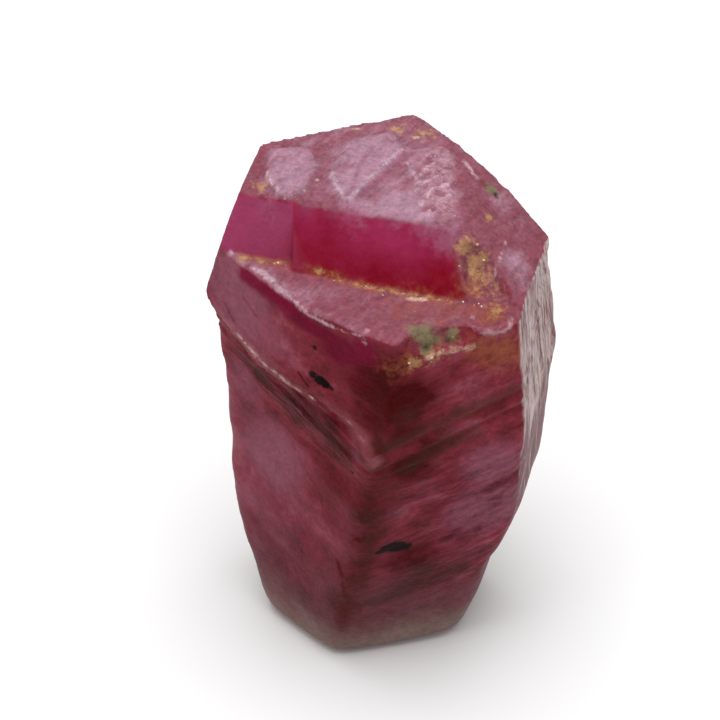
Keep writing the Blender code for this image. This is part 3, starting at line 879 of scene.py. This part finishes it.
def blend_colour(tree, share, under, over, mode="MIX"):
    """The over colour laid on the under colour by share."""
    under, over = (each if isinstance(each, bpy.types.NodeSocket) else (*each, 1.0) for each in (under, over))
    inputs = {0: share, 6: under, 7: over}
    return add_node(tree, "ShaderNodeMix", inputs, data_type="RGBA", blend_type=mode).outputs[2]


def grey_colour(tree, shade):
    return add_node(tree, "ShaderNodeCombineColor", {0: shade, 1: shade, 2: shade}).outputs[0]


def mask_value(tree, name):
    return add_node(tree, "ShaderNodeAttribute", attribute_name=name).outputs["Fac"]


def new_material(name):
    """A material's tree and shader, and each spot's place in millimetres."""
    material = bpy.data.materials.new(name)
    material.use_nodes = True
    tree = material.node_tree
    tree.nodes.clear()
    shader = add_node(tree, "ShaderNodeBsdfPrincipled")
    add_node(tree, "ShaderNodeOutputMaterial", {"Surface": shader.outputs[0]})
    coordinates = add_node(tree, "ShaderNodeTexCoord").outputs["Object"]
    place = add_node(tree, "ShaderNodeMapping", {"Vector": coordinates, "Scale": (1 / MM,) * 3}).outputs[0]
    return material, tree, shader, place


def finish_material(material, shader, inputs):
    """Gives the shader its inputs, as values or as sockets to link from."""
    tree = material.node_tree
    for name, value in inputs.items():
        if isinstance(value, bpy.types.NodeSocket):
            tree.links.new(value, shader.inputs[name])
        else:
            shader.inputs[name].default_value = value
    arrange(tree)
    return material


# Layers of colour from the stone outwards: mask, the pattern that frays it, how much, how softly, and how
# strongly it covers. The colour is the setting called after the mask.
SIDE_LAYERS = (
    ("mauve", "cloud", 0.9, 0.45, 0.90),
    ("foot", "cloud", 0.8, 0.50, 0.65),
    ("dark", "mottle", 1.8, 0.42, 0.97),
    ("smoke", "mottle", 1.7, 0.50, 0.80),
    # Painted sheen along the ridge.
    ("haze_sheen", "medium", 1.5, 0.45, 0.85),
    ("wine", "mottle", 0.8, 0.40, 0.90),
    ("thread", "thin", 2.4, 0.36, 0.42),
)
TOP_LAYERS = (
    ("rose", "clump", 0.8, 0.45, 1.00),
    # Frosted level faces with their painted sheen.
    ("frost_and_sheen", "graze", 1.4, 0.46, 1.00),
    # Painted sheen over the riser's top.
    ("veil_sheen", "clump", 1.8, 0.50, 0.75),
    # Dark pink marks, and painted shade beside the slab walls.
    ("mark", "graze", 1.2, 0.45, 0.75),
    # Painted highlights on the raised rims.
    ("rim", "clump", 2.2, 0.45, 0.90),
    # Painted shadow round the foot.
    ("foot_shadow", "cloud", 0.8, 0.50, 0.80),
    ("stain", "clump", 1.8, 0.45, 0.75),
    ("gold", "clump", 3.4, 0.42, 0.78),
    ("green", "clump", 2.2, 0.38, 0.92),
    ("pale", "clump", 1.6, 0.40, 0.90),
    ("ink", "clump", 1.3, 0.30, 1.00),
    # Painted glints.
    ("glint", "spark", 4.5, 0.16, 0.65),
)


def surface_patterns(tree, place):
    """The streaks and noises of the stone, by name."""
    streaks = streak_group()
    sway = noise(tree, place, 0.9, 2.0).node.outputs["Color"]
    swayed = vector_maths(tree, "ADD", place, vector_maths(tree, "MULTIPLY", sway, (0.5, 0.5, 0.5)))
    upright = vector_maths(tree, "MULTIPLY", place, (5.5, 5.5, 0.45))
    inputs = {"Vector": place, "Angle": math.radians(GRAZE_AZIMUTH)}
    turned = add_node(tree, "ShaderNodeVectorRotate", inputs, rotation_type="Z_AXIS", invert=True).outputs[0]
    grazed = vector_maths(tree, "MULTIPLY", turned, (1.1, 3.4, 3.4))
    patterns = {}
    for name, ground, pitch, length, detail in (
        ("broad", place, 0.80, 3.0, 3.0),
        ("medium", swayed, 0.26, 2.2, 4.0),
        ("fine", swayed, 0.09, 1.2, 4.0),
        ("thin", swayed, 0.12, 0.9, 4.0),
        ("vein", swayed, 0.42, 2.4, 3.0),
    ):
        inputs = {"Place": ground, "Pitch": pitch, "Length": length, "Detail": detail}
        patterns[name] = use_group(tree, streaks, inputs)
    patterns["vein"] = ridged(tree, patterns["vein"], 13.0)
    for name, ground, size, detail, roughness in (
        ("cloud", place, 2.0, 4.0, 0.6),
        ("mottle", place, 0.70, 5.0, 0.65),
        ("clump", place, 0.26, 4.0, 0.7),
        ("grain", place, 0.11, 3.0, 0.65),
        ("scratch", upright, 1.0, 4.0, 0.7),
        ("graze", grazed, 1.0, 5.0, 0.65),
        ("spark", place, 0.065, 2.0, 0.6),
    ):
        patterns[name] = noise(tree, ground, 1.0 / size, detail, roughness)
    return patterns


class RubySurface:
    """The ruby's material in the making."""

    def __init__(self, settings):
        self.settings = settings
        self.material, self.tree, self.shader, place = new_material("raw_ruby_surface")
        self.calc = partial(maths, self.tree)
        self.blend = partial(blend_colour, self.tree)
        self.mask = partial(mask_value, self.tree)
        self.remap = partial(remap, self.tree)
        self.centred = partial(centred, self.tree)
        self.patterns = surface_patterns(self.tree, place)
        self.ragged = ragged_group()
        self.clear = self.frayed("heart", "clump", 1.5, 0.30)

    def frayed(self, mask, pattern, raggedness, softness):
        """The mask with a ragged edge."""
        inputs = {"Mask": self.mask(mask), "Pattern": self.patterns[pattern]}
        inputs.update({"Raggedness": raggedness, "Softness": softness})
        return use_group(self.tree, self.ragged, inputs)

    def laid(self, colour, layers):
        """The colour under these layers."""
        for mask, pattern, raggedness, softness, strength in layers:
            share = self.calc("MULTIPLY", self.frayed(mask, pattern, raggedness, softness), strength)
            colour = self.blend(share, colour, getattr(self.settings, mask + "_colour"))
        return colour

    def stone(self):
        """The streaked stone of the sides, darker in soft patches: painted shade in the groove under the
        ridge and under the ledge.
        """
        calc, patterns, settings = self.calc, self.patterns, self.settings
        tone = calc("MULTIPLY_ADD", patterns["broad"], 0.35, calc("MULTIPLY", patterns["mottle"], 0.65))
        streaked = calc("MULTIPLY", self.centred(patterns["medium"]), self.mask("streak"))
        tone = calc("MULTIPLY_ADD", streaked, 0.7, tone)
        colour = self.blend(self.remap(tone, 0.34, 0.54), settings.deep_colour, settings.body_colour)
        colour = self.blend(self.remap(tone, 0.52, 0.70), colour, settings.mauve_colour)
        colour = self.laid(colour, SIDE_LAYERS)
        darkening = calc("MULTIPLY_ADD", patterns["mottle"], 0.8, 0.6)
        darkening = calc("MULTIPLY", darkening, self.mask("darkening"), clamp=True)
        return self.blend(darkening, colour, settings.darkening_colour, "MULTIPLY")

    def riser(self):
        """Crimson at the riser's foot, magenta at its top with a painted glow of light through the stone, and
        milky at its left end.
        """
        calc, patterns, settings = self.calc, self.patterns, self.settings
        glow = calc("MULTIPLY_ADD", self.centred(patterns["cloud"]), 1.5, self.mask("ember"))
        glow = calc("MULTIPLY_ADD", self.centred(patterns["mottle"]), 0.9, glow)
        colour = self.blend(self.remap(glow, 0.05, 0.95), settings.heart_colour, settings.ember_colour)
        return self.blend(calc("MULTIPLY", self.mask("pink"), 0.8), colour, settings.pink_colour)

    def strip(self):
        """The upright scrapes of the grey strip, and its painted grazing sheen, lighter towards the top."""
        settings = self.settings
        scuff_and_sheen = self.centred(self.mask("scuff_and_sheen"), 0.6)
        worn = self.calc("MULTIPLY_ADD", scuff_and_sheen, 0.16, self.patterns["scratch"])
        colour = self.blend(self.remap(worn, 0.44, 0.58), settings.strip_colour, settings.grey_colour)
        return self.blend(self.remap(worn, 0.55, 0.68), colour, settings.white_colour)

    def shade(self):
        """How light each spot is for its colour: streaks, speckle, painted shade and light on the relief, and
        thin dark veins.
        """
        calc, patterns, mask = self.calc, self.patterns, self.mask
        streak = calc("SUBTRACT", calc("MULTIPLY_ADD", patterns["fine"], 0.6, patterns["medium"]), 0.8)
        shade = calc("MULTIPLY_ADD", calc("MULTIPLY", streak, 0.85), mask("streak"), 1.0)
        speckle = calc("MULTIPLY_ADD", patterns["grain"], 0.60, calc("MULTIPLY", patterns["clump"], 0.80))
        speckle = calc("SUBTRACT", calc("MULTIPLY_ADD", patterns["mottle"], 0.40, speckle), 0.90)
        lively = calc("MULTIPLY_ADD", mask("rose"), 0.40, calc("MULTIPLY_ADD", self.clear, -0.6, 1.0))
        shade = calc("MULTIPLY_ADD", speckle, lively, shade)
        # Painted shade in the relief's low spots, painted light on its raised spots.
        shade = calc("MULTIPLY_ADD", self.centred(mask("relief")), 0.35, shade)
        vein = calc("MULTIPLY", patterns["vein"], calc("SUBTRACT", mask("streak"), 0.2, clamp=True))
        return calc("MULTIPLY_ADD", vein, -0.42, shade)

    def colour(self):
        colour = self.blend(self.clear, self.stone(), self.riser())
        # The strip's scrapes and painted grazing sheen.
        share = self.calc("MULTIPLY", self.frayed("grey", "scratch", 1.5, 0.35), 0.95)
        colour = self.laid(self.blend(share, colour, self.strip()), TOP_LAYERS)
        # The flakes' crests get the rim colour: a painted highlight.
        crest = self.calc("MULTIPLY", self.mask("crest"), 0.36)
        colour = self.blend(crest, colour, self.settings.rim_colour)
        return self.blend(1.0, colour, grey_colour(self.tree, self.shade()), "MULTIPLY")

    def roughness(self):
        rough = self.calc("MULTIPLY_ADD", self.mask("frost_and_sheen"), 0.15, self.settings.roughness)
        rough = self.calc("MULTIPLY_ADD", self.centred(self.patterns["clump"]), 0.25, rough)
        return self.calc("MULTIPLY_ADD", self.mask("gold"), 0.3, rough, clamp=True)

    def bump(self):
        """Fine streaks, grain and scrapes, too small for the mesh."""
        calc, patterns = self.calc, self.patterns
        height = calc("MULTIPLY", patterns["fine"], calc("MULTIPLY", self.mask("streak"), 0.5))
        height = calc("MULTIPLY_ADD", patterns["grain"], 0.40, height)
        height = calc("MULTIPLY_ADD", patterns["clump"], 0.5, height)
        scraped = calc("MULTIPLY", self.mask("grey"), 0.8)
        height = calc("MULTIPLY_ADD", patterns["scratch"], scraped, height)
        inputs = {"Height": height, "Strength": 1.0, "Distance": RUBY_BUMP}
        return add_node(self.tree, "ShaderNodeBump", inputs).outputs[0]

    def finished(self):
        inputs = {
            "Base Color": self.colour(),
            "Roughness": self.roughness(),
            "Normal": self.bump(),
            "IOR": RUBY_IOR,
            "Specular IOR Level": 0.015,
            "Specular Tint": (1.0, 0.35, 0.45, 1.0),
            "Subsurface Weight": 0.10,
            "Subsurface Radius": (1.0, 0.2, 0.3),
            "Subsurface Scale": RUBY_SCATTER,
        }
        return finish_material(self.material, self.shader, inputs)


def crust_material(settings):
    material, tree, shader, place = new_material("iron_crust")
    grain = noise(tree, place, 1.0 / 0.05, 3.0, 0.6)
    ramp = add_node(tree, "ShaderNodeValToRGB", {"Fac": mask_value(tree, "tone")})
    stops = ramp.color_ramp.elements
    stops[0].color = (*settings.rust_colour, 1.0)
    stops[1].color = (*settings.white_colour, 1.0)
    stops.new(0.55).color = (*settings.yellow_colour, 1.0)
    grey = grey_colour(tree, maths(tree, "MULTIPLY_ADD", grain, 0.8, 0.6))
    bump = add_node(tree, "ShaderNodeBump", {"Height": grain, "Strength": 0.6, "Distance": CRUST_BUMP})
    inputs = {
        "Base Color": blend_colour(tree, 1.0, ramp.outputs[0], grey, "MULTIPLY"),
        "Roughness": maths(tree, "MULTIPLY_ADD", grain, 0.3, 0.6),
        "Normal": bump.outputs[0],
    }
    return finish_material(material, shader, inputs)


def floor_material(settings):
    material, tree, shader, place = new_material("white_board")
    grain = noise(tree, place, 1.0 / 6.0, 2.0, 0.5)
    white = grey_colour(tree, maths(tree, "MULTIPLY_ADD", grain, 0.02, settings.floor_white))
    inputs = {"Base Color": white, "Roughness": 0.95, "Specular IOR Level": 0.0}
    return finish_material(material, shader, inputs)


# ---- Settings a user can change ------------------------------------------------------


def colour_setting(name, description, default):
    return FloatVectorProperty(
        name=name, description=description, default=default, size=3, subtype="COLOR", min=0.0, max=1.0
    )


def length_setting(name, description, default, least=0.0):
    """A length. The default and the least are in millimetres."""
    return FloatProperty(
        name=name, description=description, default=default * MM, min=least * MM, unit="LENGTH", precision=6
    )


class SkinSettings(bpy.types.PropertyGroup):
    """Sizes and colours of the crystal's surface."""

    cell: length_setting("Mesh cell", "Side of the skin's quads", 0.107, 0.03)
    striae_depth: length_setting("Striae depth", "Height of the growth striae", 0.040)
    striae_pitch: length_setting("Striae pitch", "Distance between striae", 0.22, 0.05)
    grain_depth: length_setting("Grain depth", "Height of the frosted faces' grain", 0.035)
    grain_size: length_setting("Grain size", "Width of the frosted faces' grain", 0.24, 0.02)
    swell: length_setting("Swell", "Slow rise and fall of the faces", 0.06)
    flake_depth: length_setting("Flake depth", "Height of the flakes on the terrace", 0.06)
    rim_height: length_setting("Rim height", "Height of the raised rims", 0.02)
    seed: IntProperty(name="Seed", description="Changes the striae and the grain", default=4, min=0)
    roughness: FloatProperty(
        name="Roughness", description="Roughness of the clean faces",
        default=0.40, min=0.0, max=1.0, subtype="FACTOR"
    )
    body_colour: colour_setting("Body", "Pinkish red of the clean stone", (0.220, 0.027, 0.042))
    deep_colour: colour_setting("Deep body", "Darker red between the streaks", (0.110, 0.014, 0.018))
    mauve_colour: colour_setting("Mauve", "Milky mauve parts of the sides", (0.240, 0.073, 0.110))
    foot_colour: colour_setting("Foot", "Greyer lower end", (0.085, 0.038, 0.040))
    foot_shadow_colour: colour_setting("Foot shadow", "Painted brownish grey shadow round the foot", (0.245, 0.180, 0.152))
    heart_colour: colour_setting("Heart", "Clear crimson of the riser", (0.190, 0.004, 0.014))
    ember_colour: colour_setting("Ember", "Magenta at the top of the riser, with its painted glow", (0.275, 0.019, 0.068))
    pink_colour: colour_setting("Pink", "Milky left end of the riser", (0.300, 0.048, 0.115))
    wine_colour: colour_setting("Wine", "Deep magenta under the ledge's rim", (0.150, 0.003, 0.024))
    # Dark red also paints shade in the groove under the ridge.
    dark_colour: colour_setting("Dark red", "Brown-red depth at the front edge", (0.064, 0.002, 0.002))
    smoke_colour: colour_setting("Smoke", "Olive-black lamellae", (0.058, 0.022, 0.017))
    haze_sheen_colour: colour_setting("Haze", "Painted greyish pink sheen along the ridge", (0.262, 0.082, 0.098))
    rose_colour: colour_setting("Rose", "Dull pink of the level faces", (0.225, 0.063, 0.087))
    frost_and_sheen_colour: colour_setting("Frost and sheen", "Frosted level faces with their painted sheen", (0.360, 0.198, 0.262))
    grey_colour: colour_setting("Grey haze", "Scuffed strip on the right, with its painted grazing sheen", (0.465, 0.362, 0.345))
    strip_colour: colour_setting("Strip ground", "Pinker ground of the scuffed strip", (0.180, 0.078, 0.090))
    stain_colour: colour_setting("Iron stain", "Orange-brown stain", (0.265, 0.074, 0.036))
    gold_colour: colour_setting("Gold crust", "Yellow iron crust", (0.370, 0.215, 0.095))
    green_colour: colour_setting("Green mineral", "Green-black mineral", (0.160, 0.138, 0.074))
    pale_colour: colour_setting("Pale crust", "Pale yellow and white crust", (0.500, 0.340, 0.250))
    rim_colour: colour_setting("Rims", "Bruised, raised rims and flake crests with painted highlights", (0.460, 0.310, 0.360))
    ink_colour: colour_setting("Black inclusion", "Black inclusions", (0.010, 0.005, 0.004))
    thread_colour: colour_setting("Threads", "Thin pale lines in the groove", (0.280, 0.085, 0.105))
    white_colour: colour_setting("White scrapes and sheen", "Brightest scrapes and painted sheen on the strip", (0.560, 0.450, 0.450))
    veil_sheen_colour: colour_setting("Veil", "Painted sheen over the top of the riser", (0.270, 0.085, 0.145))
    mark_colour: colour_setting("Dark pink marks and shade", "Dark pink lines between the slabs, and painted shade beside the slab walls", (0.200, 0.040, 0.080))
    darkening_colour: colour_setting("Depth", "Darker in soft patches, partly painted shade in the groove under the ridge", (0.600, 0.360, 0.420))
    glint_colour: colour_setting("Glints", "Tiny painted glints", (0.720, 0.600, 0.640))


class CrustSettings(bpy.types.PropertyGroup):
    """Sizes and colours of the scattered crust."""

    density: FloatProperty(
        name="Grains per mm2", description="Grains where the crust is thickest", default=22.0, min=0.0
    )
    smallest: length_setting("Smallest grain", "Radius of the smallest grain", 0.012)
    largest: length_setting("Largest grain", "Radius of the largest grain", 0.042)
    seed: IntProperty(name="Seed", description="Changes where the grains lie", default=2, min=0)
    rust_colour: colour_setting("Rust", "Darkest grains", (0.20, 0.06, 0.02))
    yellow_colour: colour_setting("Yellow", "Middle grains", (0.45, 0.26, 0.10))
    white_colour: colour_setting("White", "Lightest grains", (0.80, 0.70, 0.62))


class StageSettings(bpy.types.PropertyGroup):
    """The floor, the lights and the camera."""

    floor_white: FloatProperty(
        name="Floor white", description="How white the floor is",
        default=0.88, min=0.0, max=1.0, subtype="FACTOR"
    )
    overhead_power: FloatProperty(
        name="Overhead light", description="Power of the large light over and behind",
        default=1.15, min=0.0, unit="POWER"
    )
    fill_power: FloatProperty(
        name="Fill light", description="Power of the soft light on the left",
        default=0.10, min=0.0, unit="POWER"
    )
    sky: FloatProperty(name="Sky", description="Strength of the light from all round", default=0.50, min=0.0)


class RubySettings(bpy.types.PropertyGroup):
    """All settings of the raw ruby crystal."""

    skin: PointerProperty(type=SkinSettings)
    crust: PointerProperty(type=CrustSettings)
    stage: PointerProperty(type=StageSettings)


# ---- Operators -----------------------------------------------------------------------


class RUBY_OT_skin(bpy.types.Operator):
    """Builds the crystal's surface over its solid, with growth relief and colour zones"""

    bl_idname = "ruby.skin"
    bl_label = "Build crystal surface"

    def execute(self, context):
        settings = context.scene.raw_ruby.skin
        mesh = even_mesh(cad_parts[NODE], settings.cell / MM)
        edges = mesh_edges(mesh)
        points = tumble(mesh_points(mesh), edges)
        move_points(mesh, points)
        normals = blur(mesh_normals(mesh), edges, NORMAL_ROUNDS)
        normals /= np.linalg.norm(normals, axis=1)[:, None]
        for name, values in Zones(points, normals, edges).masks.items():
            attribute = mesh.attributes.new(name, "FLOAT", "POINT")
            attribute.data.foreach_set("value", values.astype(np.float32))
        grown = grow(
            mesh,
            "skin_growth",
            growth_relief_tree(),
            {
                "Striae Depth": settings.striae_depth / MM,
                "Striae Pitch": settings.striae_pitch / MM,
                "Grain Depth": settings.grain_depth / MM,
                "Grain Size": settings.grain_size / MM,
                "Swell": settings.swell / MM,
                "Flake Depth": settings.flake_depth / MM,
                "Rim Height": settings.rim_height / MM,
                "Seed": settings.seed,
                "Material": RubySurface(settings).finished(),
            },
        )
        to_frame(grown)
        grown.name = SKIN
        skin = place_piece(grown, SKIN)
        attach(skin, "root")
        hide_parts(NODE)
        return {"FINISHED"}


class RUBY_OT_crust(bpy.types.Operator):
    """Scatters small iron-stained grains on the crystal's surface"""

    bl_idname = "ruby.crust"
    bl_label = "Add crust grains"

    def execute(self, context):
        settings = context.scene.raw_ruby.crust
        ground = bpy.data.objects[SKIN].data.copy()
        move_points(ground, mesh_points(ground) / MM - AXIS_PLACE)
        grains = grow(
            ground,
            "grain_scatter",
            crust_tree(),
            {
                "Grains per mm2": settings.density,
                "Smallest": settings.smallest / MM,
                "Largest": settings.largest / MM,
                "Seed": settings.seed,
                "Material": crust_material(settings),
            },
        )
        bpy.data.meshes.remove(ground)
        to_frame(grains)
        grains.name = GRAINS
        crust = place_piece(grains, GRAINS)
        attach(crust, "root")
        return {"FINISHED"}


def add_soft_light(name, place, aim, size, power):
    light = bpy.data.lights.new(name, "AREA")
    light.shape = "SQUARE"
    light.size = size
    light.energy = power
    obj = place_piece(light, name)
    obj.location = place
    obj.rotation_euler = (Vector(aim) - Vector(place)).to_track_quat("-Z", "Y").to_euler()


class RUBY_OT_stage(bpy.types.Operator):
    """Adds the pale floor, the soft lights and the camera"""

    bl_idname = "ruby.stage"
    bl_label = "Add floor, lights and camera"

    def execute(self, context):
        settings = context.scene.raw_ruby.stage
        bm = bmesh.new()
        bmesh.ops.create_grid(bm, x_segments=1, y_segments=1, size=FLOOR_HALF)
        mesh = bpy.data.meshes.new("floor")
        bm.to_mesh(mesh)
        bm.free()
        mesh.materials.append(floor_material(settings))
        floor = place_piece(mesh, "floor")

        world = bpy.data.worlds.new("studio")
        world.use_nodes = True
        background = world.node_tree.nodes["Background"]
        background.inputs["Color"].default_value = (1.0, 1.0, 1.0, 1.0)
        background.inputs["Strength"].default_value = settings.sky
        context.scene.world = world
        add_soft_light("overhead", (0.0, -0.01, 0.36), (0, 0, 0.005), 0.28, settings.overhead_power)
        add_soft_light("fill", (-0.28, -0.12, 0.22), (0, 0, 0.006), 0.20, settings.fill_power)

        camera = bpy.data.cameras.new("camera")
        camera.sensor_width = CAMERA_SENSOR
        camera.lens = CAMERA_LENS
        camera.clip_start = 0.01
        camera.clip_end = 10.0
        obj = place_piece(camera, "camera")
        aim = Vector(AIM + AXIS_PLACE) * MM
        elevation = math.radians(CAMERA_ELEVATION)
        away = Vector((0.0, -math.cos(elevation), math.sin(elevation)))
        obj.location = aim + away * CAMERA_DISTANCE * MM
        obj.rotation_euler = (-away).to_track_quat("-Z", "Y").to_euler()
        context.scene.camera = obj
        context.scene.view_settings.view_transform = "Standard"
        context.scene.view_settings.look = "None"
        return {"FINISHED"}


class RUBY_PT_panel(bpy.types.Panel):
    """Raw ruby crystal"""

    bl_label = "Raw ruby crystal"
    bl_idname = "RUBY_PT_panel"
    bl_space_type = "VIEW_3D"
    bl_region_type = "UI"
    bl_category = "Ruby"

    def draw(self, context):
        settings = context.scene.raw_ruby
        for group, operator in (("skin", "ruby.skin"), ("crust", "ruby.crust"), ("stage", "ruby.stage")):
            box = self.layout.box()
            values = getattr(settings, group)
            for name in values.__annotations__:
                box.prop(values, name)
            box.operator(operator)


CLASSES = (
    SkinSettings,
    CrustSettings,
    StageSettings,
    RubySettings,
    RUBY_OT_skin,
    RUBY_OT_crust,
    RUBY_OT_stage,
    RUBY_PT_panel,
)


def register():
    for cls in CLASSES:
        bpy.utils.register_class(cls)
    bpy.types.Scene.raw_ruby = PointerProperty(type=RubySettings)


def unregister():
    del bpy.types.Scene.raw_ruby
    for cls in reversed(CLASSES):
        bpy.utils.unregister_class(cls)


def main():
    register()
    bpy.ops.ruby.skin()
    bpy.ops.ruby.crust()
    bpy.ops.ruby.stage()


if __name__ == "__main__":
    main()
